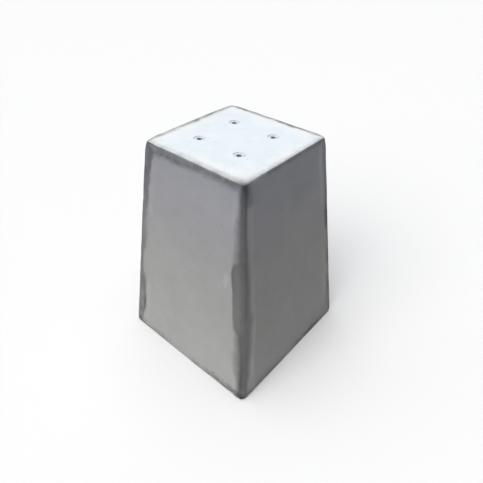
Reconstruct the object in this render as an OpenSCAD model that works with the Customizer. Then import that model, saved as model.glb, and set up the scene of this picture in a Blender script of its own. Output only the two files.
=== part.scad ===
// Base block for a timber post or column, precast in concrete.
// A square block that tapers upwards, with four plugs cast into its top for the screws of a post shoe.
// The origin is the middle of the underside, +Z points up, and X and Y run along the sides.
// All sizes are in millimetres.

/* [Block] */
// Width of the top, over its rounded edge
top_w = 150; // [130:1:220]
// Width of the underside
base_w = 220; // [180:1:320]
// Height of the block
block_h = 300; // [150:1:450]

/* [Edges] */
// Radius of the upright arrises at the top
arris_top_r = 4; // [3:0.5:14]
// Radius of the upright arrises at the underside
arris_base_r = 6; // [3:0.5:20]
// Radius of the edge round the top
top_edge_r = 2; // [0.5:0.25:3]

/* [Plugs] */
// Distance from one plug centre to the next, in X and in Y
plug_pitch = 60; // [40:1:80]
// Outside diameter of a plug
plug_d = 13; // [11:0.5:18]
// Length of a plug
plug_l = 60; // [40:1:100]
// Depth of a plug's face below the top of the block
plug_recess = 0.6; // [0:0.1:2]
// Clearance between a plug and the concrete that is cast round it
cast_clearance = 0; // [0:0.05:0.2]

/* [Bores] */
// Diameter of the bore in each plug
bore_d = 5; // [3.5:0.5:8]
// Thickness of the closed end under the bore
bore_floor = 5; // [2:0.5:10]
// Width of the bevel at the mouth of the bore
mouth_bevel = 0.8; // [0.2:0.1:1.2]

/* [Grip ribs] */
// Number of rings round each plug that hold it in the concrete
rib_count = 4; // [1:1:6]
// Height of a ring above the plug's side
rib_h = 1.2; // [0.5:0.1:2]
// Width of a ring where it meets the plug
rib_w = 3; // [2:0.5:5]

/* [Hidden] */
PLUG_COUNT = 4;
PLUG_NAMES = [for (i = [1 : PLUG_COUNT]) str("plug_", i)];

concrete = [0.63, 0.63, 0.62];
nylon = [0.84, 0.86, 0.88];
corner_fn = 32;
round_fn = 96;
// Length by which a cut runs past the surface that it opens
overrun = 5;
plug_top_z = block_h - plug_recess;
rib_step = plug_l / (rib_count + 1);

// Half outline of a plug from its closed end up to its face, with its face at z = 0.
// Each ring is a ridge with sloping sides, and grow makes the outline that much larger all round.
function plug_outline(grow) = concat(
    [[0, -plug_l - grow], [plug_d / 2 + grow, -plug_l - grow]],
    [for (i = [1 : rib_count]) each rib_outline(-plug_l + i * rib_step, grow)],
    [[plug_d / 2 + grow, 0], [0, 0]]
);

// Half outline of one ring about the height z
function rib_outline(z, grow) = [
    [plug_d / 2 + grow, z - rib_w / 2 - grow],
    [plug_d / 2 + rib_h + grow, z - rib_w / 4 - grow],
    [plug_d / 2 + rib_h + grow, z + rib_w / 4 + grow],
    [plug_d / 2 + grow, z + rib_w / 2 + grow]
];

// Puts the children at each corner of a square with sides of 2 * half
module at_corners(half) {
    for (x = [-1, 1], y = [-1, 1]) translate([x * half, y * half, 0]) children();
}

// Puts the children on the axis of plug i, at the height of its face
module at_plug(i) {
    side_x = i % 2 == 0 ? -1 : 1;
    side_y = i < PLUG_COUNT / 2 ? -1 : 1;
    translate([side_x * plug_pitch / 2, side_y * plug_pitch / 2, plug_top_z]) children();
}

// Ring that rounds one corner of the top, both in plan and over the edge
module top_corner() {
    rotate_extrude($fn = corner_fn) intersection() {
        translate([arris_top_r - top_edge_r, 0]) circle(r = top_edge_r, $fn = corner_fn);
        translate([0, -top_edge_r]) square([arris_top_r, 2 * top_edge_r]);
    }
}

// Outer shape of the block, with its four sides drawn straight from the underside to the top
module block_body() {
    hull() {
        at_corners(base_w / 2 - arris_base_r)
            cylinder(r1 = arris_base_r, r2 = 0, h = arris_base_r, $fn = corner_fn);
        translate([0, 0, block_h - top_edge_r])
            at_corners(top_w / 2 - arris_top_r) top_corner();
    }
}

// Space that one plug fills in the concrete, open through the top
module plug_space() {
    rotate_extrude($fn = round_fn) polygon(plug_outline(cast_clearance));
    cylinder(r = plug_d / 2 + cast_clearance, h = plug_recess + overrun, $fn = round_fn);
}

module block() {
    color(concrete) difference() {
        block_body();
        for (i = [0 : PLUG_COUNT - 1]) at_plug(i) plug_space();
    }
}

// Plug with a blind bore from its face, bevelled at the mouth
module plug() {
    color(nylon) difference() {
        rotate_extrude($fn = round_fn) polygon(plug_outline(0));
        translate([0, 0, bore_floor - plug_l])
            cylinder(d = bore_d, h = plug_l - bore_floor + overrun, $fn = round_fn);
        translate([0, 0, -mouth_bevel])
            cylinder(d1 = bore_d, d2 = bore_d + 4 * mouth_bevel, h = 2 * mouth_bevel, $fn = round_fn);
    }
}

block();
for (i = [0 : PLUG_COUNT - 1])
    at_plug(i) plug();
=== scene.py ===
import functools
import math

import bpy
import numpy as np
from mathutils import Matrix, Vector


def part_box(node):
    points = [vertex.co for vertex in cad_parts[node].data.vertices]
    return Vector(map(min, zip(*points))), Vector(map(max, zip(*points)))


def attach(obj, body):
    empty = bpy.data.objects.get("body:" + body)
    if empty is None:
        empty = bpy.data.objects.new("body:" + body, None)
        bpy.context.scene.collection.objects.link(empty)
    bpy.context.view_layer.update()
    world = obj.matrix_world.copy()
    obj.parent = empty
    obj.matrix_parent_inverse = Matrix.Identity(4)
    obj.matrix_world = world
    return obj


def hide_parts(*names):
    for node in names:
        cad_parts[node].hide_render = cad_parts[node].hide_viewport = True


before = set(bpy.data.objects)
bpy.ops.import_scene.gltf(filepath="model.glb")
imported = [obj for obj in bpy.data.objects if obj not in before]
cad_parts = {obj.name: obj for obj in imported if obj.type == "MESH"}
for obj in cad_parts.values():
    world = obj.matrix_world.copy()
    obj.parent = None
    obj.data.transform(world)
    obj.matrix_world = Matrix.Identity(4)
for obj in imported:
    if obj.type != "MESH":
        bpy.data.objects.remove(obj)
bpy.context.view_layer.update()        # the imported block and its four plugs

mm = 0.001
sameSpot = 0.01 * mm     # points closer than this are joined, or count as level
endGap = 1 * mm          # clear of a plug's closed end, or of its axis


def hexToLinear(code):
    # an sRGB hex colour as linear light
    channels = np.array([int(code[i:i + 2], 16) for i in (1, 3, 5)]) / 255
    linear = np.where(channels <= 0.04045, channels / 12.92, ((channels + 0.055) / 1.055) ** 2.4)
    return (*linear.tolist(), 1.0)


def addNode(tree, kind, inputs=(), out=0, **settings):
    # adds one node and gives its output number or name out. inputs, in order or by name, are values
    # or the sockets that feed it, and settings are the node's own properties
    node = tree.nodes.new("ShaderNode" + kind)
    for name, value in settings.items():
        setattr(node, name, value)
    for name, value in inputs.items() if isinstance(inputs, dict) else enumerate(inputs):
        if isinstance(value, bpy.types.NodeSocket):
            tree.links.new(value, node.inputs[name])
        else:
            node.inputs[name].default_value = value
    return node.outputs[out] if len(node.outputs) else None


def newMaterial(name):
    # an empty node material, and addNode for its nodes
    material = bpy.data.materials.new(name)
    material.use_nodes = True
    material.node_tree.nodes.clear()
    return material, functools.partial(addNode, material.node_tree)


def smoothNoise(points, cell, seed):
    # from -1 to 1: random values on a cubic lattice, blended across each cell by 3t^2 - 2t^3. The
    # lattice is shifted to keep its numbers above zero. Large odd factors scatter them over 32 bits,
    # and the upper 24 bits, divided by half their range, give the value
    scaled = points / cell + 512
    lattice = np.floor(scaled).astype(np.int64)
    t = scaled - lattice
    t = t * t * (3 - 2 * t)
    total = np.zeros(len(points))
    for corner in np.ndindex(2, 2, 2):
        key = (lattice + corner) @ np.array([73856093, 19349663, 83492791]) + seed * 974634777
        key = (key ^ (key >> 15)) * 2246822519 & 0xFFFFFFFF
        key = (key ^ (key >> 13)) * 3266489917 & 0xFFFFFFFF
        value = (key >> 8) / 8388607.5 - 1
        total += value * np.prod(np.where(corner, t, 1 - t), axis=1)
    return total


def layeredNoise(points, layers, lift=0):
    # the sum of strength * (lift + smoothNoise) over layers of cell in mm, strength and seed. A lift
    # of 1 keeps it from going below zero
    total = np.zeros(len(points))
    for cell, strength, seed in layers:
        total += strength * (lift + smoothNoise(points, cell * mm, seed))
    return total


def smoothStep(low, high, value):
    # 0 up to low, 1 from high on, and 3t^2 - 2t^3 between
    t = np.clip((value - low) / (high - low), 0, 1)
    return t * t * (3 - 2 * t)


# the camera: angles in degrees, lens in mm
view = {
    "azimuth": 40.26,       # round from the front, towards +X
    "elevation": 39.07,
    "roll": 1.06,
    "distance": 0.5744,     # from the middle of the block, in metres
    "sideways": 0.0077,     # how far the camera stands off to its right, and up
    "upwards": -0.0028,
    "lens": 31.23,
}


def makeCamera(target):
    # back, right and up are the camera's own axes: turned by azimuth and elevation, then rolled
    azimuth, elevation, roll = (math.radians(view[k]) for k in ("azimuth", "elevation", "roll"))
    back = np.array([math.sin(azimuth) * math.cos(elevation),
                     -math.cos(azimuth) * math.cos(elevation), math.sin(elevation)])
    right = np.array([math.cos(azimuth), math.sin(azimuth), 0])
    up = np.cross(back, right)
    right, up = (math.cos(roll) * right + math.sin(roll) * up,
                 math.cos(roll) * up - math.sin(roll) * right)
    place = target + back * view["distance"] + right * view["sideways"] + up * view["upwards"]
    camera = bpy.data.objects.new("camera", bpy.data.cameras.new("camera"))
    camera.data.lens = view["lens"]
    camera.data.sensor_width = 36
    camera.data.clip_start = 0.01
    matrix = np.eye(4)
    matrix[:3, 0], matrix[:3, 1], matrix[:3, 2], matrix[:3, 3] = right, up, back, place
    camera.matrix_world = matrix.T.tolist()
    bpy.context.collection.objects.link(camera)
    bpy.context.scene.camera = camera


blockLow, blockHigh = (np.array(corner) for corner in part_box("block"))
blockHeight = blockHigh[2] - blockLow[2]
makeCamera(np.array([0, 0, blockHeight / 2]))
print("camera made")


def nodePoints(name):
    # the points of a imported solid, which the sizes are read from
    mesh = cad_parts[name].data
    points = np.empty(len(mesh.vertices) * 3)
    mesh.vertices.foreach_get("co", points)
    return points.reshape(-1, 3)


def plugPlace(name):
    # the axis, the heights of the face and the closed end, and the radius of the face, of the
    # bevelled mouth and of the bore
    points = nodePoints(name)
    low, high = points.min(axis=0), points.max(axis=0)
    axis = (low[:2] + high[:2]) / 2
    reach = np.linalg.norm(points[:, :2] - axis, axis=1)
    onFace = reach[points[:, 2] > high[2] - sameSpot]
    wall = reach[(points[:, 2] > low[2] + endGap) & (reach > endGap)].min()
    return {"axis": axis, "face": high[2], "foot": low[2], "radius": onFace.max(),
            "mouth": onFace.min(), "bore": wall}


plugNames = sorted(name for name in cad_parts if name.startswith("plug"))
plugPlaces = {name: plugPlace(name) for name in plugNames}
blockPoints = nodePoints("block")
topZone = 3 * mm         # the solid's upper edge lies within this height
topHalf = blockPoints[blockPoints[:, 2] > blockHigh[2] - topZone][:, 0].max()
baseHalf = blockHigh[0]
print(f"block {2 * baseHalf:.3f} below, {2 * topHalf:.3f} above, {blockHeight:.3f} high")


# the block's edges, and the columns and rows of its mesh
block = {
    "arrisBase": 6 * mm,      # radius of the upright arrises at the foot, and at the top
    "arrisTop": 4 * mm,
    "topEdge": 2.6 * mm,      # radius round the top, a little worn
    "footEdge": 1.0 * mm,     # radius round the underside, where the mould was filled
    "arrisBlend": 5 * mm,     # two sides blend over this much each side of their arris
    # marks of the sides end between these, in mm in from the edge of the underside
    "underBorder": (3, 8),
    # the pale top fades in between the first two, in mm in from its edge. The third is added to the
    # second where the edge is rubbed
    "topBorder": (-0.5, 1.8, 4),
    "arcSteps": 5,            # columns in half an arris
    "flatSteps": 46,          # columns from an arris to the middle of a side
    "fineCell": 1.1 * mm,     # column width beside an arris, and how far the narrow columns reach
    "fineZone": 17 * mm,
    "sideRows": 146,
    "fineRow": 0.8 * mm,      # row height near the foot and the top, and how far the low rows reach
    "rowZone": 8 * mm,
    "rowGrowth": 0.15,        # past them a row is higher by this much of the way on, up to rowExtra
    "rowExtra": 1.6 * mm,
    "footSteps": 3,           # rows in the rounding of the foot, and of the top
    "edgeSteps": 5,
    "quarterColumns": 20,     # columns from the middle of the top out to the middle of a side
    "holeRows": 13,           # rings from a plug out to the edge of its quarter
    "evenRings": 0.15,        # how even their spacing is: at 0 they crowd to both ends most
}


def halfShares(span):
    # places from 1, at the arris, to 0, mid-side: even fine steps first, then steps that grow in a
    # ratio, which is found by halving its range until they fill the span
    fine, fineZone = block["fineCell"], block["fineZone"]
    fineCount = int(round(fineZone / fine))
    rest = block["flatSteps"] - fineCount
    low, high = 1.0, 1.5
    for _ in range(60):
        ratio = (low + high) / 2
        reach = fine * (ratio ** (rest + 1) - ratio) / (ratio - 1)
        low, high = (ratio, high) if reach < span - fineZone else (low, ratio)
    steps = np.concatenate([np.full(fineCount, fine), fine * ratio ** np.arange(1, rest + 1)])
    return 1 - np.concatenate([[0], np.cumsum(steps)]) / steps.sum()


def sideColumns():
    # for each column of one side: how far it is turned round an arris, and its place along the flat
    arc = np.linspace(-math.pi / 4, 0, block["arcSteps"] + 1)[:-1]
    shares = -halfShares(baseHalf - block["arrisBase"])
    bend = np.concatenate([arc, np.zeros(len(shares))])
    share = np.concatenate([np.full(len(arc), -1.0), shares])
    bend = np.concatenate([bend, -bend[:-1][::-1]])[:-1]
    share = np.concatenate([share, -share[:-1][::-1]])[:-1]
    return bend, share


def outline(width, radius, height):
    # rings of a rounded square. Out from the middle: width - radius * (1 - cos(bend)).
    # Along the side: (width - radius) * share + radius * sin(bend). Each side is turned a quarter on.
    bend, share = sideColumns()
    width, radius, height = (np.atleast_1d(v)[:, None] for v in (width, radius, height))
    out = width - radius * (1 - np.cos(bend))
    along = (width - radius) * share + radius * np.sin(bend)
    rings = [np.stack([out, along], -1)]
    for _ in range(3):
        rings.append(np.stack([-rings[-1][..., 1], rings[-1][..., 0]], -1))
    rings = np.concatenate(rings, axis=1)
    return np.concatenate([rings, np.broadcast_to(height[..., None], (*rings.shape[:2], 1))], axis=2)


def gradedRows(length):
    # heights from 0 to length: low rows near both ends, higher ones between. The rows are spaced
    # evenly along the running total of 1 / row height
    place = np.linspace(0, 1, 2001) * length
    past = np.minimum(place, length - place) - block["rowZone"]
    higher = (past > 0) * np.minimum(past * block["rowGrowth"], block["rowExtra"])
    density = 1 / (block["fineRow"] + higher)
    total = np.concatenate([[0], np.cumsum((density[1:] + density[:-1]) / 2)])
    return np.interp(np.linspace(0, total[-1], block["sideRows"]), total, place)


def sideWrap():
    # rings going up: the foot's rounding, the leaning side, and the rounding of the top edge. A
    # rounding is a quarter turn: width - radius * (1 - cos(turn)), radius * (1 - sin(turn)) high
    foot, edge = block["footEdge"], block["topEdge"]
    lean = (baseHalf - topHalf) / (blockHeight - edge)
    turn = np.linspace(math.pi / 2, 0, block["footSteps"] + 1)[:-1]
    footRing = (baseHalf - foot * (1 - np.cos(turn)) - lean * foot, foot * (1 - np.sin(turn)))
    rows = foot + gradedRows(blockHeight - edge - foot)
    sideRing = (baseHalf - lean * rows, rows)
    turn = np.linspace(0, math.pi / 2, block["edgeSteps"] + 1)[1:]
    topRing = (topHalf - edge * (1 - np.cos(turn)), blockHeight - edge * (1 - np.sin(turn)))
    width = np.concatenate([footRing[0], sideRing[0], topRing[0]])
    height = np.concatenate([footRing[1], sideRing[1], topRing[1]])
    share = np.clip(height / (blockHeight - edge), 0, 1)
    radius = block["arrisBase"] + (block["arrisTop"] - block["arrisBase"]) * share
    radius = radius - np.maximum(0, (baseHalf - lean * height) - width)
    return outline(width, radius, height)


def closeRing(grid):
    # ends each ring on its first point again
    return np.concatenate([grid, grid[:, :1]], axis=1)


def coonsPatch(ring):
    # fills a four-sided ring: the two blends between facing sides, less the blend of the four corners
    count = len(ring) // 4
    south, east, north, west = (np.roll(ring, -k * count, axis=0)[:count + 1] for k in range(4))
    north, west = north[::-1], west[::-1]
    u = np.linspace(0, 1, count + 1)[:, None, None]
    v = np.linspace(0, 1, count + 1)[None, :, None]
    across = (1 - v) * south[:, None] + v * north[:, None]
    upward = (1 - u) * west[None] + u * east[None]
    corners = ((1 - u) * (1 - v) * south[0] + u * (1 - v) * south[-1]
               + (1 - u) * v * north[0] + u * v * north[-1])
    return across + upward - corners


plug = {
    "count": 4,               # grip rings round each plug
    "ringHeight": 1.2 * mm,
    "ringWidth": 3 * mm,
    "lip": 0.35 * mm,         # rounding of the concrete round a plug
    "lipSteps": 3,
    "calm": 4 * mm,           # this far off a plug the concrete would be as uneven as elsewhere
    "faceEdge": 0.4 * mm,     # rounding of the rim of its face
    "mouthRings": (0.6 * mm, 0.15 * mm),     # rings on the face, this far outside the mouth
    "mouthEdge": 0.1 * mm,    # rounding of the mouth
    "boreTop": 2.5 * mm,      # depth at which the flutes begin
    "boreFloor": 5 * mm,
    "boreRings": 12,
    "flutes": 6,              # shallow hollows up the bore, left by the screw's former
    "fluteDepth": 0.25 * mm,
    "film": (0.6 * mm, 0.1 * mm),     # how far below the face the cement begins, and is full
    "columns": 72,
}


def plugOutline(place):
    # radius and height down the outside of a plug, from its face to its closed end. Each grip ring
    # stands out over the middle half of its width
    step = (place["face"] - place["foot"]) / (plug["count"] + 1)
    radius, height = [place["radius"]], [place["face"]]
    for i in range(plug["count"], 0, -1):
        middle = place["foot"] + i * step
        for side, raised in ((0.5, 0), (0.25, 1), (-0.25, 1), (-0.5, 0)):
            radius.append(place["radius"] + plug["ringHeight"] * raised)
            height.append(middle + side * plug["ringWidth"])
    radius.append(place["radius"])
    height.append(place["foot"])
    return np.array(radius), np.array(height)


def topQuarter(rim, corner, place):
    # one quarter of the top, as rings: straight lines from its edge in to the round hole, a quarter
    # turn over the hole's lip, and down the outline of the plug to its closed end. The rings lie at
    # even * t + (1 - even) * (1 - cos(pi * t)) / 2 of the way out
    quarter = len(rim) // 4
    outer = np.roll(rim, quarter // 2 - corner * quarter, axis=0)[:quarter + 1]
    middle = np.array([0, 0, rim[0, 2]])
    spoke = np.linspace(0, 1, block["quarterColumns"] + 1)[1:, None]
    inward = outer[-1] + (middle - outer[-1]) * spoke
    outward = middle + (outer[0] - middle) * spoke
    loop = np.concatenate([outer, inward, outward])
    offset = loop[:, :2] - place["axis"]
    ray = offset / np.linalg.norm(offset, axis=1)[:, None]
    lip = plug["lip"]
    hole = np.column_stack([place["axis"] + ray * (place["radius"] + lip), loop[:, 2]])
    t = np.linspace(1, 0, block["holeRows"] + 1)
    even = block["evenRings"]
    t = (even * t + (1 - even) * (1 - np.cos(math.pi * t)) / 2)[:, None, None]
    plate = loop * t + hole * (1 - t)
    turn = np.linspace(0, math.pi / 2, plug["lipSteps"] + 1)[1:]
    outRadius, outHeight = plugOutline(place)
    radius = np.concatenate([place["radius"] + lip * (1 - np.sin(turn)), outRadius, [0]])
    height = np.concatenate([rim[0, 2] - lip * (1 - np.cos(turn)), outHeight, outHeight[-1:]])
    pocket = np.empty((len(radius), len(loop), 3))
    pocket[..., :2] = place["axis"] + ray * radius[:, None, None]
    pocket[..., 2] = height[:, None]
    return np.concatenate([plate, pocket])


def weldPatches(patches):
    # joins grids along their shared edges: points in the same spot become one. The odd shift keeps
    # round sizes away from the border between two spots
    points, quads, start = [], [], 0
    for grid in patches:
        rows, columns = grid.shape[:2]
        index = start + np.arange(rows * columns).reshape(rows, columns)
        cells = np.stack([index[:-1, :-1], index[:-1, 1:], index[1:, 1:], index[1:, :-1]], -1)
        points.append(grid.reshape(-1, 3))
        quads.append(cells.reshape(-1, 4))
        start += rows * columns
    points, quads = np.concatenate(points), np.concatenate(quads)
    key = np.round(points / sameSpot + 0.371).astype(np.int64)
    _, first, joined = np.unique(key, axis=0, return_index=True, return_inverse=True)
    quads = joined.reshape(-1)[quads]
    corners = (quads != np.roll(quads, -1, axis=1)).sum(axis=1)
    return points[first], quads[corners >= 3]


def pointNormals(points, quads):
    # the sum, at each point, of the cross products of the diagonals of the cells round it
    a, b, c, d = (points[quads[:, k]] for k in range(4))
    cross = np.cross(c - a, d - b)
    normals = np.zeros_like(points)
    for k in range(4):
        np.add.at(normals, quads[:, k], cross)
    return normals / np.linalg.norm(normals, axis=1)[:, None]


def makePiece(name, points, quads, material, fields={}):
    # a mesh from whole arrays; a cell whose corners met at a pole becomes a triangle
    kept = quads != np.roll(quads, -1, axis=1)
    starts = np.concatenate([[0], np.cumsum(kept.sum(axis=1))[:-1]])
    mesh = bpy.data.meshes.new(name)
    mesh.vertices.add(len(points))
    mesh.vertices.foreach_set("co", points.ravel())
    mesh.loops.add(int(kept.sum()))
    mesh.loops.foreach_set("vertex_index", quads[kept].astype(np.int32))
    mesh.polygons.add(len(quads))
    mesh.polygons.foreach_set("loop_start", starts.astype(np.int32))
    mesh.polygons.foreach_set("use_smooth", np.ones(len(quads), bool))
    mesh.update(calc_edges=True)
    for field, values in fields.items():
        attribute = mesh.attributes.new(field, "FLOAT", "POINT")
        attribute.data.foreach_set("value", values.astype(np.float32))
    mesh.materials.append(material)
    piece = bpy.data.objects.new(name, mesh)
    bpy.context.collection.objects.link(piece)
    return piece


# the dark bands that sealing the mould's joints left along the edges. frontX is the X side of the
# front arris, and so on. Going up it: height, width, strength, softness of the border, painted shade
# and grime in a crease inside it, and a painted highlight beyond it. Height, width and softness are
# in mm
bands = {
    "frontY": (
        (0, 10, 0.68, 4, 0, 0), (12, 10, 0.68, 4, 0, 0), (25, 9.8, 0.77, 4.2, 0, 0),
        (40, 10.8, 0.78, 7, 0, 0), (50, 11.8, 0.75, 8, 0, 0), (75, 11.4, 0.69, 8.5, 0, 0),
        (90, 11.4, 0.66, 6.5, 0, 0), (108, 11.4, 0.66, 5.5, 0, 0), (116, 15.8, 0.58, 2.2, 0, 0),
        (130, 16.4, 0.54, 1.2, 0, 0), (150, 16.4, 0.55, 1.1, 0, 0), (168, 16.4, 0.57, 0.9, 0.1, 0),
        (178, 17.2, 0.58, 0.8, 0.15, 0), (186, 17.8, 0.58, 0.7, 0.2, 0),
        (194, 17.6, 0.58, 0.7, 0.2, 0), (200, 15.8, 0.58, 1, 0.1, 0), (204, 15, 0.6, 1.5, 0, 0),
        (208, 11, 0.64, 6, 0, 0), (222, 10.4, 0.64, 6, 0, 0), (250, 9.6, 0.66, 5.8, 0, 0),
        (258, 8.2, 0.66, 4.4, 0, 0), (268, 5.8, 0.67, 2.8, 0, 0), (285, 5.6, 0.69, 2.6, 0, 0),
        (300, 6, 0.66, 3, 0, 0)),
    "frontX": (
        (0, 8, 0.46, 2, 0, 0.1), (25, 10.6, 0.4, 1.6, 0, 0.12), (40, 12.4, 0.4, 3.4, 0, 0.16),
        (60, 13, 0.42, 3.6, 0, 0.14), (75, 14, 0.43, 4, 0, 0.18), (100, 15.6, 0.36, 4, 0, 0.22),
        (132, 16, 0.38, 5, 0, 0.06), (140, 12.8, 0.44, 3.2, 0, 0.12),
        (160, 12, 0.44, 3.2, 0.08, 0.14), (185, 12, 0.45, 3, 0.08, 0.05),
        (200, 10.6, 0.48, 3.2, 0, 0.05), (215, 9.2, 0.48, 2.6, 0, 0.06),
        (228, 7.8, 0.48, 1.4, 0.05, 0.12), (250, 7, 0.48, 1, 0.1, 0.1),
        (270, 6.9, 0.5, 1, 0.1, 0.08), (276, 7.5, 0.5, 1.4, 0.1, 0), (300, 9, 0.55, 3, 0, 0)),
    "rightX": (
        (0, 9, 0.4, 1.2, 0, 0), (12, 9.8, 0.4, 1.2, 0, 0), (25, 14, 0.3, 7, 0, 0),
        (40, 16, 0.28, 7, 0, 0), (50, 13, 0.36, 5, 0, 0.08), (60, 11.2, 0.5, 3, 0, 0.08),
        (70, 10.8, 0.48, 3, 0, 0.14), (80, 11.5, 0.38, 5, 0, 0.06), (90, 12, 0.15, 5, 0, 0.1),
        (100, 9, 0.1, 3, 0, 0), (110, 9.8, 0.48, 3, 0, 0.12), (130, 9.8, 0.4, 4, 0, 0.1),
        (140, 8, 0.15, 2, 0, 0), (162, 8, 0.15, 2, 0, 0), (170, 10.5, 0.4, 1.5, 0, 0.05),
        (180, 10.8, 0.6, 1.2, 0.1, 0.05), (195, 10.6, 0.6, 1.2, 0.1, 0), (208, 9.8, 0.5, 1, 0, 0.1),
        (222, 9.2, 0.35, 0.8, 0, 0.15), (230, 9, 0.4, 0.8, 0, 0.18), (240, 9.3, 0.2, 1, 0, 0.12),
        (268, 9.8, 0.25, 1.2, 0, 0.2), (278, 9.5, 0.15, 1.5, 0, 0.3), (300, 9, 0.1, 2, 0, 0.1)),
    "rightY": (
        (0, 11, 0.45, 4, 0, 0), (58, 13, 0.5, 4, 0, 0), (64, 16, 0.5, 1.2, 0.3, 0.1),
        (106, 16.5, 0.5, 1.2, 0.3, 0.1), (112, 12, 0.48, 4, 0, 0), (230, 14, 0.5, 5, 0, 0),
        (300, 11, 0.5, 4, 0, 0)),
    "backY": (
        (0, 14, 0.48, 4, 0, 0), (60, 11, 0.5, 5, 0, 0), (118, 12, 0.5, 5, 0, 0),
        (124, 16.5, 0.52, 1, 0.3, 0.1), (168, 17.5, 0.52, 1, 0.3, 0.1), (173, 12, 0.5, 4, 0, 0),
        (300, 13, 0.5, 4, 0, 0)),
    "backX": (
        (0, 10, 0.45, 4, 0, 0), (120, 14, 0.5, 5, 0, 0), (240, 11, 0.5, 3, 0, 0.05),
        (300, 15, 0.5, 4, 0, 0)),
    "leftX": (
        (0, 13, 0.45, 3, 0, 0), (20, 15, 0.5, 1.5, 0.5, 0.1), (68, 17, 0.5, 1.5, 0.5, 0.1),
        (76, 11, 0.45, 4, 0, 0), (200, 12, 0.48, 4, 0, 0), (300, 15, 0.5, 3, 0, 0)),
    "leftY": (
        (0, 14.8, 0.45, 2.5, 0, 0), (12, 16, 0.48, 3, 0, 0), (25, 17, 0.5, 1.8, 0.15, 0.05),
        (32, 19.3, 0.5, 2.5, 0.3, 0.05), (40, 20.3, 0.42, 2.2, 1.0, 0.1),
        (50, 20.1, 0.42, 2.2, 1.0, 0.1), (60, 19.5, 0.46, 2.3, 0.5, 0.1),
        (70, 18.3, 0.46, 2.2, 0.3, 0.1), (80, 17.7, 0.47, 2, 0.3, 0.1),
        (90, 17.8, 0.5, 2, 0.1, 0.1), (100, 16, 0.5, 5, 0, 0), (107, 11, 0.46, 3, 0, 0),
        (120, 10, 0.46, 2.5, 0, 0), (140, 9.8, 0.45, 2, 0, 0), (150, 12.8, 0.46, 4, 0, 0),
        (160, 12.6, 0.44, 4, 0, 0), (170, 14.3, 0.43, 5, 0, 0), (180, 12, 0.44, 4.5, 0, 0),
        (200, 11.6, 0.45, 4, 0, 0), (208, 13, 0.4, 4.5, 0, 0.1), (215, 13.5, 0.47, 2.5, 0, 0.12),
        (230, 13, 0.48, 2.2, 0, 0.05), (242, 13, 0.48, 2.2, 0, 0.08), (250, 14.7, 0.42, 2, 0, 0.08),
        (260, 14.7, 0.58, 2.5, 0, 0), (270, 15.6, 0.57, 1.6, 0.1, 0.05),
        (278, 15.8, 0.53, 1.5, 0.1, 0), (284, 18.6, 0.48, 3, 0, 0), (300, 18.6, 0.45, 3, 0, 0)),
    # width, strength and softness below the edge of the top, then above it: +X, +Y, -X and -Y sides
    "rim": ((5, 0.38, 2.2, 3, 0.45, 4.5), (8, 0.5, 3, 7.6, 0.58, 2.5), (8, 0.5, 3, 8.4, 0.55, 3),
            (8.6, 0.46, 4, 4, 0.42, 6)),
    "rimFar": (2.2, 0.35),    # extra width in mm, and crease, under the left half of the -Y edge
    "farHalf": (-15, 15),     # it goes from full to nothing between these places along it, in mm
    "farPatch": 0.6,          # how whole that crease is
    # extra strength on the top along the -Y edge: places along it in mm, then shares
    "rimAlong": ((-75, -45, -30, 0, 50, 75), (0.25, 0.18, 0.0, 0.06, 0.2, 0.2)),
    # extra strength where the bead was thickest, right on the front arris: heights in mm, then shares
    "bead": ((10, 25, 60, 90, 200, 230), (0.0, 0.3, 0.3, 0.2, 0.2, 0.1)),
    "beadReach": 6 * mm,
    # strength of blotches at the front, right, back and left arris and round the top, then their
    # cell in mm, strength and seed
    "patchy": (0.05, 0.2, 0.12, 0.2, 0.35),
    "blotches": ((9, 1.0, 3), (4, 0.6, 4)),
    "waver": 1.0 * mm,        # how far a border wanders, softness at which it does, and least share
    "waverSoft": 5,
    "waverLeast": 0.12,
    "waverNoise": ((14, 1.0, 1), (4, 0.5, 2)),
    "rimWaver": 1.5,          # times as far round the top
    "rimTurn": 1 * mm,        # half the height over which looks turn from those below the edge
    "recess": 0.12 * mm,      # depth of a band, and how much deeper one with a sharp border is
    "stepRecess": 0.3 * mm,
    "sharp": (1.2, 3.5),      # softness of the last sharp border, and of the first soft one, in mm
    # painted shade in the crease and painted highlight beyond the border: distance inside the border,
    # half width of the core and of the whole, in mm
    "lines": {"creaseShadeAndGrime": (2.6, 0.3, 2.8), "ridge": (-6.5, 0.5, 5.0)},
    # further wander of the colour's border: softness from and to, and the wander there, in mm
    "fray": (0.6, 5.0, 1.2, 4.0),
}
bandNames = (("frontX", "frontY"), ("rightX", "rightY"), ("backX", "backY"), ("leftX", "leftY"))


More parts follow.
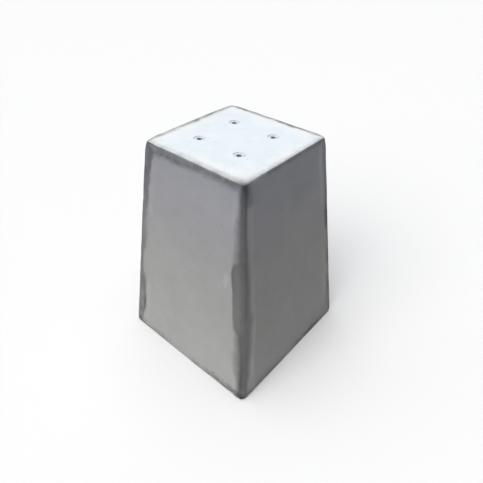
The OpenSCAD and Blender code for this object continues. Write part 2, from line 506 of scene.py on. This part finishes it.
# sides are numbered +X, +Y, -X and -Y, and corners front, right, back and left. A pattern is cell in
# mm, strength and seed
wear = {
    "waves": ((70, 0.12, 11), (22, 0.05, 12), (5, 0.02, 13)),     # unevenness of the mould, in mm
    # how much each upper corner is darkened, how deeply it is worn, and the radius the pale top
    # turns it in, in mm
    "corners": ((0.55, 3.5, 16), (0.1, 1.2, 4), (0.0, 1.4, 4), (0.3, 1.4, 8)),
    "cornerReach": 9,         # of the wear and of the darkening, in mm
    "cornerShade": 13,
    # how far each edge of the top has slumped: places along it, then drops, in mm
    "slump": {
        0: ((-75, -52, -32), (-1.6, -1.6, 0.0)),
        3: ((-75, -56, -44, -30, 62, 75), (2.2, 2.6, 1.2, 0.0, 0.0, -1.6)),
    },
    # how strongly each edge of the top is rubbed round: places along it in mm, then shares
    "rubbed": {
        0: ((-75, -56, -42, -26), (0.7, 1.0, 0.5, 0.0)),
        2: ((-75, -60), (1.0, 0.0)),
        3: ((-75, -62, -48, 60, 75), (1.2, 0.8, 0.0, 0.0, 0.7)),
    },
    "rubbedDepth": 1.5,       # depth and reach of the rubbing, in mm
    "rubbedReach": 4.5,
    "arris": (0.2, 4, 16, 14),       # wear of the arrises and of the top edge: depth, reach, and
    "topEdge": (0.4, 3, 10, 19),     # cell of its pattern, all in mm, and the pattern's seed
    "footPattern": ((8, 0.8, 15), (3, 0.6, 16)),     # the foot crumbles where it is over footLimit
    "footLimit": 0.4,
    "footReach": 2,           # reach and depth of that, in mm, and what the front corner adds
    "footDepth": 0.15,
    "frontReach": 50,
    "frontDepth": 2.0,
    "underside": ((16, 0.3, 17), (6, 0.2, 18)),      # its roughness, below the height underZone
    "underZone": 0.5 * mm,
}


def sideShares(points):
    # how much each point belongs to the +X, +Y, -X and -Y sides, which blend across the arrises
    x, y, _ = points.T
    share = smoothStep(-block["arrisBlend"], block["arrisBlend"], np.abs(x) - np.abs(y))
    return np.stack([(x > 0) * share, (y > 0) * (1 - share),
                     (x <= 0) * share, (y <= 0) * (1 - share)])


def alongSides(points, table):
    # reads a table of places along each side, in mm, and the values there. The X sides run along Y
    # and the Y sides along X, and a side that the table leaves out counts as 0
    shares = sideShares(points)
    total = np.zeros(len(points))
    for number, (places, values) in table.items():
        total += shares[number] * np.interp(points[:, 1 - number % 2] / mm, places, values)
    return total


def edgePlaces(points):
    # the nearest arris, how far round it a point lies (+ on its X side), and how far below the top's
    # edge (- on the top). The edge turns each corner of the top in an arc: a point lies inside it by
    # radius - the distance from the arc's centre
    x, y, z = points.T
    ax, ay = np.abs(x), np.abs(y)
    corner = np.where(x > 0, np.where(y < 0, 0, 1), np.where(y > 0, 2, 3))
    radius = np.array(wear["corners"])[corner, 2] * mm
    inX, inY = np.maximum(topHalf - ax, 0), np.maximum(topHalf - ay, 0)
    inside = radius - np.hypot(np.maximum(radius - inX, 0), np.maximum(radius - inY, 0))
    inside = np.where(np.minimum(inX, inY) > radius, np.minimum(inX, inY), inside)
    return corner, ax - ay, (blockHeight - z) - inside - alongSides(points, wear["slump"]) * mm


def insideSides(points):
    # how far each point lies inside the line of the leaning sides: the half width at its height, less
    # the larger of its distances from the middle along X and Y
    x, y, z = points.T
    return baseHalf - (baseHalf - topHalf) / blockHeight * z - np.maximum(np.abs(x), np.abs(y))


def offUnderside(points):
    # 1 on the sides and the top, falling to nothing just inside the border of the underside
    low, high = (edge * mm for edge in block["underBorder"])
    return 1 - (points[:, 2] < blockHeight / 2) * smoothStep(low, high, insideSides(points))


def bandFields(points):
    # depth inside the nearest band, strength, softness of its border, painted shade and grime in its
    # crease and painted highlight beyond it. The two sides of an arris blend into one another across
    # it, and the band round the top takes over where it would darken the surface more than the one up
    # the arris
    corner, across, below = edgePlaces(points)
    height = points[:, 2] / mm
    marked = offUnderside(points)
    facts = np.zeros((2, 5, len(points)))
    for number, pair in enumerate(bandNames):
        here = corner == number
        for onY, name in enumerate(pair):
            heights, *columns = np.array(bands[name], float).T
            facts[onY][:, here] = [np.interp(height[here], heights, column) for column in columns]
    onX = smoothStep(-block["arrisBlend"], block["arrisBlend"], across)
    width, strength, soft, creaseShadeAndGrime, ridge = facts[0] * onX + facts[1] * (1 - onX)
    waver = bands["waver"] / mm * layeredNoise(points, bands["waverNoise"])
    wandering = np.clip(soft / bands["waverSoft"], bands["waverLeast"], 1)
    depth = width - np.abs(across) / mm + waver * wandering
    under, above = (np.array(bands["rim"]).T @ sideShares(points)).reshape(2, 3, -1)
    onTop = smoothStep(-bands["rimTurn"], bands["rimTurn"], -below)
    rimWidth, rimStrength, rimSoft = under + (above - under) * onTop
    farHalf = alongSides(points, {3: (bands["farHalf"], (1, 0))}) * (1 - onTop)
    rimWidth = rimWidth + bands["rimFar"][0] * farHalf
    rimStrength = rimStrength + alongSides(points, {3: bands["rimAlong"]}) * onTop
    rimDepth = rimWidth - np.abs(below) / mm + bands["rimWaver"] * waver
    patchy = np.array(bands["patchy"])
    blotches = layeredNoise(points, bands["blotches"])
    nearArris = np.exp(-(across / bands["beadReach"]) ** 2)
    bead = (corner == 0) * np.interp(height, *bands["bead"]) * nearArris
    strength = strength * (1 + patchy[corner] * blotches)
    strength = (strength + (1 - strength) * bead) * marked
    rimStrength = rimStrength * (1 + patchy[4] * blotches)
    cover = strength * np.clip(0.5 + depth / (2 * soft), 0, 1) * (1 - onTop)
    onRim = rimStrength * np.clip(0.5 + rimDepth / (2 * rimSoft), 0, 1) > cover
    onRim = onRim | (below < 0)
    rimCreaseShadeAndGrime = bands["rimFar"][1] * farHalf * np.clip(bands["farPatch"] + blotches, 0, 1)
    return (np.where(onRim, rimDepth, depth), np.where(onRim, rimStrength, strength),
            np.where(onRim, rimSoft, soft), np.where(onRim, rimCreaseShadeAndGrime, creaseShadeAndGrime * marked),
            ridge * ~onRim * marked)


chips = {
    # arris, height, half length up the arris, half width, depth, all in mm, and the shift across it
    "places": ((0, 3, 5, 6, 1.6, 0), (3, 4, 6, 5, 1.0, -3), (3, 222, 4, 3, 0.6, 1),
               (1, 120, 5, 3, 0.8, 0), (2, 260, 6, 4, 1.0, 2), (2, 60, 9, 5, 1.3, 0),
               (1, 2, 4, 5, 1.4, 1), (3, 105, 3, 3, 0.5, 0)),
    "ragged": ((3, 0.35, 5), (1.5, 0.2, 6)),     # cell in mm, strength and seed
    "border": (0.6, 1.05),    # full depth within the first, nothing beyond the second
}


def chipDepth(points):
    # each chip is a shallow scoop: full depth within, falling to nothing at a ragged oval border.
    # Its reach is the distance from its middle in units of its half sizes, plus a noise
    corner, across, below = edgePlaces(points)
    low, high = block["underBorder"]
    inward = np.maximum(insideSides(points) / mm - low, 0) / (high - low)
    ragged = layeredNoise(points, chips["ragged"])
    depth = np.zeros(len(points))
    for arris, height, length, width, deep, shift in chips["places"]:
        up = (points[:, 2] / mm - height) / length
        over = (across / mm - shift) / width
        reach = np.linalg.norm([up, over, inward], axis=0) + ragged
        scoop = (corner == arris) * (below > 0) * deep * mm
        depth = np.maximum(depth, scoop * (1 - smoothStep(*chips["border"], reach)))
    return depth


marksAndHighlights = {
    # face (+X or -Y), place along it, lowest and highest height, half width, all in mm, and change of
    # brightness
    # pale strokes at 61.5 to 67 along the -Y face and at -85 along +X are painted highlights
    "strokes": (("Y", 61.5, 168, 190, 0.8, 0.25), ("Y", 64.5, 163, 192, 0.8, 0.3),
                ("Y", 67, 172, 186, 0.7, 0.2), ("Y", 65, 252, 297, 2.4, 0.06),
                ("Y", -64, 282, 296, 5, -0.15), ("Y", -84, 4, 10, 5, 0.3),
                ("Y", -85, -6, 3, 8, -0.3), ("Y", 96, 5, 13, 11, -0.4),
                ("Y", 60, 3, 12, 22, -0.12), ("X", -98, 6, 15, 7, -0.2),
                ("X", -68, 270, 300, 6, -0.3), ("X", -22, 196, 214, 16, -0.04),
                ("X", 20, 236, 264, 18, -0.05), ("Y", -22, 222, 236, 10, -0.04),
                ("X", 50, 2, 11, 16, -0.15), ("X", 86, 4, 30, 9, -0.08),
                ("X", -85, 5, 75, 5, 0.12)),
    "waver": ((9, 1.2, 21),),     # cell in mm, strength and seed
    "fade": 6,                # most length over which an end fades, in mm
}

# how dark the ragged lowest strip of each side is: places along it in mm, then shares
footShades = {
    0: ((-100, -85, -60, -35, -15, 0, 15, 25, 40, 55, 65, 80, 100),
        (0.3, 0.25, 0.3, 0.22, 0.04, 0.06, 0.32, 0.22, 0.42, 0.52, 0.4, 0.22, 0.1)),
    1: ((-100, -40, 20, 60, 100), (0.2, 0.3, 0.1, 0.3, 0.2)),
    2: ((-100, -50, 0, 50, 100), (0.3, 0.15, 0.3, 0.1, 0.3)),
    3: ((-105, -85, -65, -45, -30, 5, 15, 25, 35, 45, 65, 85, 100),
        (0.35, 0.35, 0.25, 0.3, 0.1, 0.04, 0.2, 0.26, 0.12, 0.36, 0.38, 0.55, 0.5)),
}


def strokeBrightness(points):
    # each mark or painted highlight is a soft upright stroke, exp(-(distance / half width)^2), that
    # fades at its ends
    x, y, z = points.T / mm
    shade = np.zeros(len(points))
    waver = layeredNoise(points, marksAndHighlights["waver"])
    for face, along, low, high, half, change in marksAndHighlights["strokes"]:
        place = y if face == "X" else x
        facing = x > np.abs(y) if face == "X" else -y > np.abs(x)
        fade = min(marksAndHighlights["fade"], (high - low) / 3)
        ends = smoothStep(low, low + fade, z) * (1 - smoothStep(high - fade, high, z))
        shade += change * facing * ends * np.exp(-((place - along + waver) / half) ** 2)
    return shade


def fromCorner(points):
    # the corner of the top that each point lies nearest, and how far it is from it
    corner = edgePlaces(points)[0]
    x, y, z = points.T
    offset = [np.abs(x) - topHalf, np.abs(y) - topHalf, z - blockHeight]
    return corner, np.linalg.norm(offset, axis=0)


def blockDepth(points, depth, soft):
    # how far each point sinks below the perfect surface: mould waves, the recessed bands, wear along
    # the arrises, round the top and at its corners, the worn foot, the rough underside and the chips.
    # Wear falls off from its edge as exp(-(distance / reach)^2)
    _, across, below = edgePlaces(points)
    x, y, z = points.T
    fromFoot = z + np.maximum(0, insideSides(points))
    fromFront = np.hypot(x - baseHalf, y + baseHalf)
    nearest, toCorner = fromCorner(points)
    marked = offUnderside(points)

    def near(distance, reach):
        return np.exp(-(distance / (reach * mm)) ** 2)

    def rub(distance, kind):
        deep, reach, cell, seed = wear[kind]
        return deep * near(distance, reach) * layeredNoise(points, ((cell, 1.0, seed),), 1)

    step = 1 - smoothStep(*bands["sharp"], soft)
    sealed = smoothStep(-soft, soft, depth) * (bands["recess"] + bands["stepRecess"] * step) / mm
    sealed = sealed * marked
    arris = rub(across, "arris") * (below > 0) * marked
    corners = np.array(wear["corners"])[nearest, 1] * near(toCorner, wear["cornerReach"])
    top = rub(below, "topEdge") + corners
    rubbed = wear["rubbedDepth"] * alongSides(points, wear["rubbed"])
    top = top + rubbed * near(below, wear["rubbedReach"])
    crumbled = wear["footDepth"] + wear["frontDepth"] * near(fromFront, wear["frontReach"])
    pits = np.maximum(0, layeredNoise(points, wear["footPattern"], 1) - wear["footLimit"])
    foot = near(fromFoot, wear["footReach"]) * crumbled * pits
    rough = (z < wear["underZone"]) * layeredNoise(points, wear["underside"], 1)
    wave = layeredNoise(points, wear["waves"], 1)
    return (wave + sealed + arris + top + foot + rough) * mm + chipDepth(points)


def makeBlock(material):
    # the sides, the underside and four quarters of the top, welded. Each point then moves in along
    # its normal by its depth
    wrap = sideWrap()
    rim = wrap[-1]
    corners = [(1, -1), (1, 1), (-1, 1), (-1, -1)]
    patches = [closeRing(wrap), coonsPatch(wrap[0])]
    for corner, signs in enumerate(corners):
        place = next(p for p in plugPlaces.values() if tuple(np.sign(p["axis"])) == signs)
        patches.append(topQuarter(rim, corner, place))
    points, quads = weldPatches(patches)
    normals = pointNormals(points, quads)
    depth, strength, soft, creaseShadeAndGrime, ridge = bandFields(points)
    sink = blockDepth(points, depth, soft)
    for place in plugPlaces.values():
        # little sinks in a plug's pocket, so that the pocket follows the plug
        away = np.linalg.norm(points[:, :2] - place["axis"], axis=1) - place["radius"]
        pocket = (points[:, 2] > place["foot"] - endGap) & (away < 2 * plug["ringHeight"])
        calmed = sink * smoothStep(0.5 * plug["lip"], plug["calm"], away)
        sink = np.where(pocket, calmed, sink)
    nearest, toCorner = fromCorner(points)
    reach = wear["cornerShade"] * mm
    dulled = np.array(wear["corners"])[nearest, 0] * np.exp(-(toCorner / reach) ** 2)
    start, width, extra = block["topBorder"]
    border = (width + extra * alongSides(points, wear["rubbed"])) * mm
    marked = offUnderside(points)
    # crease: painted shade and grime; ridge and pale strokes: painted highlights
    fields = {"bandDepth": depth, "bandStrength": strength, "bandSoft": soft, "creaseShadeAndGrime": creaseShadeAndGrime,
              "ridge": ridge, "markAndHighlight": strokeBrightness(points) * marked - dulled,
              "chip": chipDepth(points) / mm, "fringe": alongSides(points, footShades) * marked,
              "topFace": smoothStep(start * mm, border, -edgePlaces(points)[2])}
    return makePiece("blockCasting", points - normals * sink[:, None], quads, material, fields)


def makePlug(name, place, material):
    # a profile turned round the plug's axis: up the outside over the grip rings, across the face,
    # down the bevel and the fluted bore, and across its floor to the axis. The bore's radius is
    # bore - fluteDepth * (1 - cos(flutes * turn)) / 2
    outRadius, outHeight = plugOutline(place)
    outRadius, outHeight = outRadius[::-1], outHeight[::-1]
    face, bore = place["face"], place["bore"]
    bevel = place["mouth"] - bore
    soft = plug["faceEdge"]
    middle = 0.3 * soft     # a quarter turn's middle lies about 1 - cos(45 degrees) in
    profile = [(0, place["foot"])] + list(zip(outRadius[:-1], outHeight[:-1]))
    profile += [(place["radius"], face - soft), (place["radius"] - middle, face - middle),
                (place["radius"] - soft, face)]
    profile += [(place["mouth"] + ring, face) for ring in plug["mouthRings"]]
    profile += [(place["mouth"], face - plug["mouthEdge"]), (bore, face - bevel)]
    floor = place["foot"] + plug["boreFloor"]
    profile += [(bore, h) for h in np.linspace(face - plug["boreTop"], floor, plug["boreRings"])]
    profile += [(0, floor)]
    radius, height = np.array(profile).T
    turn = np.linspace(0, 2 * math.pi, plug["columns"] + 1)
    turn[-1] = 0
    inBore = np.zeros(len(radius))
    inBore[-plug["boreRings"] - 1:-1] = 1
    flute = plug["fluteDepth"] * inBore[:, None] * (0.5 - 0.5 * np.cos(plug["flutes"] * turn))
    grid = np.empty((len(radius), len(turn), 3))
    grid[..., 0] = place["axis"][0] + (radius[:, None] - flute) * np.cos(turn)
    grid[..., 1] = place["axis"][1] + (radius[:, None] - flute) * np.sin(turn)
    grid[..., 2] = height[:, None]
    points, quads = weldPatches([grid])
    reach = np.linalg.norm(points[:, :2] - place["axis"], axis=1)
    start, full = (face - deep for deep in plug["film"])
    film = smoothStep(start, full, points[:, 2]) * (reach > bore + plug["mouthEdge"])
    return makePiece(name, points, quads, material, {"film": film})


concrete = {
    # painted light: lighter, warmer sides at the foot from the floor's bounce, cooler under the top
    "side": "#7f7e7c",          # cast faces of the sides half way up, at the foot and under the top
    "sideBounceLit": "#888785",
    "sideCoolLit": "#78787c",
    "heights": (0.0, 150 * mm, 280 * mm),     # those of the foot, half way up and under the top
    # the top's paler, cooler colour is partly its own tone and partly painted light from above
    "top": "#b3b7b9",           # the top, and a paler border round it
    "topRim": "#bab9b6",
    "topRimReach": (-24.0, -8.0),     # where it begins and is full, in mm (- is outside the band)
    "topRimPatches": (0.35, 0.6, 0.2, 1.0),     # mottling from and to, and the share there
    "broken": "#74716c",        # paste laid bare in the chips, by their depth in mm
    "brokenDepth": (0.05, 0.35),
    # patterns: cell, and how many finer sizes lie within it
    "patterns": {"clouds": (80 * mm, 2), "mottle": (18 * mm, 4), "grain": (1.6 * mm, 3),
                 "ragged": (7 * mm, 5), "crumbs": (5 * mm, 5), "rubble": (3 * mm, 4)},
    "brightness": {"clouds": 0.16, "mottle": 0.14, "grain": 0.16},     # how much each changes it
    "airHoles": 15 * mm,        # how far apart they are, about
    "holeSize": (0.03, 0.055),  # shares of that: full within the first, plain beyond the second
    # crease: painted shade and grime; ridge: painted highlight; hole: painted shade in the air holes
    "shades": {"creaseShadeAndGrime": -0.7, "ridge": 1.0, "band": -1.0, "hole": -0.45, "fringe": -1.0,
               "markAndHighlight": 1.0},   # how much each darkens (-) or lightens the colour
    "fringeHeight": 28 * mm,    # most height of the dark strip at the foot, and its softness
    "fringeSoft": 9 * mm,
    "relief": 0.25 * mm,        # height of the bumps, and the share that each pattern has in them
    "reliefs": {"mottle": 0.6, "grain": 0.5, "hole": -1.5, "rubble": 1.5},
    "roughness": 0.88,
    "bandRoughness": 0.7,       # where a band has the strength bandFull or more
    "bandFull": 0.5,
    "specular": 0.35,
}


def makeConcrete():
    # pale, dry, slightly mottled paste: soft clouds, a fine grain and a few air holes darkened with
    # painted shade, with darker and smoother bands along the edges that fade or step into the plain
    # face, painted shade and grime in their creases and painted highlights beside them. The sides are
    # painted lighter and warmer towards the foot and cooler under the top, as light from the floor
    # and from above would make them, and the top is paler, partly its own tone and partly painted
    # light.
    # The grain is drawn a little coarser than real sand, so that it shows
    material, add = newMaterial("cast concrete")
    place = add("TexCoord", out="Object")
    height = add("SeparateXYZ", [place], out="Z")
    part = {}
    for name in ("bandDepth", "bandStrength", "bandSoft", "creaseShadeAndGrime", "ridge", "markAndHighlight", "chip",
                 "fringe", "topFace"):
        part[name] = add("Attribute", out="Fac", attribute_name=name)
    for name, (cell, detail) in concrete["patterns"].items():
        settings = {"Vector": place, "Scale": 1 / cell, "Detail": detail}
        part[name] = add("TexNoise", settings, out="Fac")
    # the air holes' darkening is painted shade in them; the bump sinks them too
    holes = add("TexVoronoi", {"Vector": place, "Scale": 1 / concrete["airHoles"]}, out="Distance")
    part["hole"] = add("MapRange", [holes, *concrete["holeSize"], 1.0, 0.0])

    # the border of a band frays, more where it is soft
    soft = part["bandSoft"]
    fray = add("MapRange", [soft, *bands["fray"]])
    ragged = add("Math", [part["ragged"], 0.5], operation="SUBTRACT")
    inside = add("Math", [ragged, fray, part["bandDepth"]], operation="MULTIPLY_ADD")
    outer = add("Math", [soft, -1.0], operation="MULTIPLY")
    band = add("MapRange", [inside, outer, soft, 0.0, 1.0])
    part["band"] = add("Math", [band, part["bandStrength"]], operation="MULTIPLY")
    # the crease's painted shade and grime and the ridge's painted highlight follow the band's border
    for name, (middle, core, edge) in bands["lines"].items():
        away = add("Math", [inside, middle], operation="SUBTRACT")
        away = add("Math", [away], operation="ABSOLUTE")
        line = add("MapRange", [away, core, edge, 1.0, 0.0])
        part[name] = add("Math", [line, part[name]], operation="MULTIPLY")

    # the strip at the foot ends in a ragged line
    shift = -concrete["fringeHeight"]
    ragged = add("Math", [part["crumbs"], shift, height], operation="MULTIPLY_ADD")
    fringe = add("MapRange", [ragged, -concrete["fringeSoft"], 0.0, 1.0, 0.0])
    part["fringe"] = add("Math", [fringe, part["fringe"]], operation="MULTIPLY")

    # colours laid one over another, each by its share. The lighter, warmer foot and the cooler sides
    # under the top are painted light, and the paler top is partly painted light
    foot, middle, upper = concrete["heights"]
    low = add("MapRange", [height, foot, middle, 1.0, 0.0])
    high = add("MapRange", [height, middle, upper, 0.0, 1.0])
    chipped = add("MapRange", [part["chip"], *concrete["brokenDepth"], 0.0, 1.0])
    pale = add("MapRange", [inside, *concrete["topRimReach"], 0.0, 1.0])
    pale = add("Math", [pale, part["topFace"]], operation="MULTIPLY")
    patches = add("MapRange", [part["mottle"], *concrete["topRimPatches"]])
    pale = add("Math", [pale, patches], operation="MULTIPLY")
    colour = hexToLinear(concrete["side"])
    for name, share in (("sideBounceLit", low), ("sideCoolLit", high), ("top", part["topFace"]),
                        ("broken", chipped), ("topRim", pale)):
        layers = {0: share, 6: colour, 7: hexToLinear(concrete[name])}
        colour = add("Mix", layers, out=2, data_type="RGBA")

    # brightness: 1 on average, changed by the patterns, then by each mark as 1 + share * change
    bright = 1.0 - sum(concrete["brightness"].values()) / 2
    for name, amount in concrete["brightness"].items():
        bright = add("Math", [part[name], amount, bright], operation="MULTIPLY_ADD")
    for name, change in concrete["shades"].items():
        mark = add("Math", [part[name], change, 1.0], operation="MULTIPLY_ADD")
        bright = add("Math", [bright, mark], operation="MULTIPLY")
    colour = add("VectorMath", {0: colour, 3: bright}, operation="SCALE")

    part["rubble"] = add("Math", [chipped, part["rubble"]], operation="MULTIPLY")
    relief = 0.0
    for name, amount in concrete["reliefs"].items():
        relief = add("Math", [part[name], amount, relief], operation="MULTIPLY_ADD")
    bump = add("Bump", {"Strength": 1.0, "Distance": concrete["relief"], "Height": relief})
    rough = add("MapRange", [part["band"], 0.0, concrete["bandFull"], concrete["roughness"],
                             concrete["bandRoughness"]])
    shader = add("BsdfPrincipled", {"Base Color": colour, "Roughness": rough, "Normal": bump,
                                    "Specular IOR Level": concrete["specular"]})
    add("OutputMaterial", {"Surface": shader})
    return material


nylon = {
    "bare": "#5a5b5c",
    "filmed": "#b0b3b4",        # cement left on the face
    "dust": (3 * mm, 4.0),      # cell of its pattern, and how many finer sizes lie within it
    "patches": (0.3, 0.6, 0.6, 1.0),     # pattern from and to, and the share of the film there
    "relief": 0.05 * mm,
    "reliefStrength": 0.5,
    "roughness": 0.55,
    "specular": 0.4,
}


def makeNylon():
    # grey moulded nylon, dark and slightly glossy down the bore; cement dulls and pales the face
    material, add = newMaterial("moulded nylon")
    place = add("TexCoord", out="Object")
    cell, detail = nylon["dust"]
    dust = add("TexNoise", {"Vector": place, "Scale": 1 / cell, "Detail": detail}, out="Fac")
    share = add("MapRange", [dust, *nylon["patches"]])
    film = add("Attribute", out="Fac", attribute_name="film")
    share = add("Math", [share, film], operation="MULTIPLY")
    layers = {0: share, 6: hexToLinear(nylon["bare"]), 7: hexToLinear(nylon["filmed"])}
    colour = add("Mix", layers, out=2, data_type="RGBA")
    bump = add("Bump", {"Strength": nylon["reliefStrength"], "Distance": nylon["relief"],
                        "Height": dust})
    shader = add("BsdfPrincipled", {"Base Color": colour, "Roughness": nylon["roughness"],
                                    "Specular IOR Level": nylon["specular"], "Normal": bump})
    add("OutputMaterial", {"Surface": shader})
    return material


concreteLook, nylonLook = makeConcrete(), makeNylon()
print("concrete and nylon mixed")
blockPiece = makeBlock(concreteLook)
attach(blockPiece, "root")
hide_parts("block")
blockPiece.data.calc_loop_triangles()
print(f"block cast, {len(blockPiece.data.loop_triangles)} triangles")

for name, place in plugPlaces.items():
    piece = makePlug(name.replace("plug_", "plugMoulding."), place, nylonLook)
    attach(piece, "root")
    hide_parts(name)
print("plugs moulded")


studio = {
    "floor": "#c1bebb",       # the floor's paint
    "roughness": 0.9,
    "specular": 0.2,
    "floorHalf": 8.0,         # half the floor's width, in metres
    "world": "#ffffff",
    "worldStrength": 0.07,
}

# turn round from +X, height above the floor and width of the source, in degrees, then strength and
# colour
lights = {
    "overhead": (0, 90, 60, 2.5, "#eef6ff"),
    "highLeft": (225, 60, 60, 1.5, "#f6faff"),
    "left": (270, 40, 50, 2.8, "#ffffff"),
    "back": (135, 55, 60, 0.5, "#ffffff"),
}


def makeLight(name, turn, rise, width, strength, code):
    # a broad even source a long way off; its own Z axis points back along the light
    data = bpy.data.lights.new(name, "SUN")
    data.energy, data.angle = strength, math.radians(width)
    data.color = hexToLinear(code)[:3]
    lamp = bpy.data.objects.new(name, data)
    turn, rise = math.radians(turn), math.radians(rise)
    lamp.location = (math.cos(turn) * math.cos(rise), math.sin(turn) * math.cos(rise), math.sin(rise))
    lamp.rotation_euler = lamp.location.to_track_quat("Z", "Y").to_euler()
    bpy.context.collection.objects.link(lamp)


# the floor has matt paint, with next to no gloss
floorLook, add = newMaterial("pale matt floor")
paint = add("BsdfPrincipled", {"Base Color": hexToLinear(studio["floor"]),
                               "Roughness": studio["roughness"],
                               "Specular IOR Level": studio["specular"]})
add("OutputMaterial", {"Surface": paint})
half = studio["floorHalf"]
corners = np.array([[[-half, -half, 0], [half, -half, 0]], [[-half, half, 0], [half, half, 0]]])
floor = makePiece("floor", *weldPatches([corners]), floorLook)
for name, facts in lights.items():
    makeLight(name, *facts)
world = bpy.data.worlds.new("studio")
world.use_nodes = True
sky = world.node_tree.nodes["Background"]
sky.inputs["Color"].default_value = hexToLinear(studio["world"])
sky.inputs["Strength"].default_value = studio["worldStrength"]
bpy.context.scene.world = world
bpy.context.scene.view_settings.view_transform = "Standard"
print("floor and lights set")
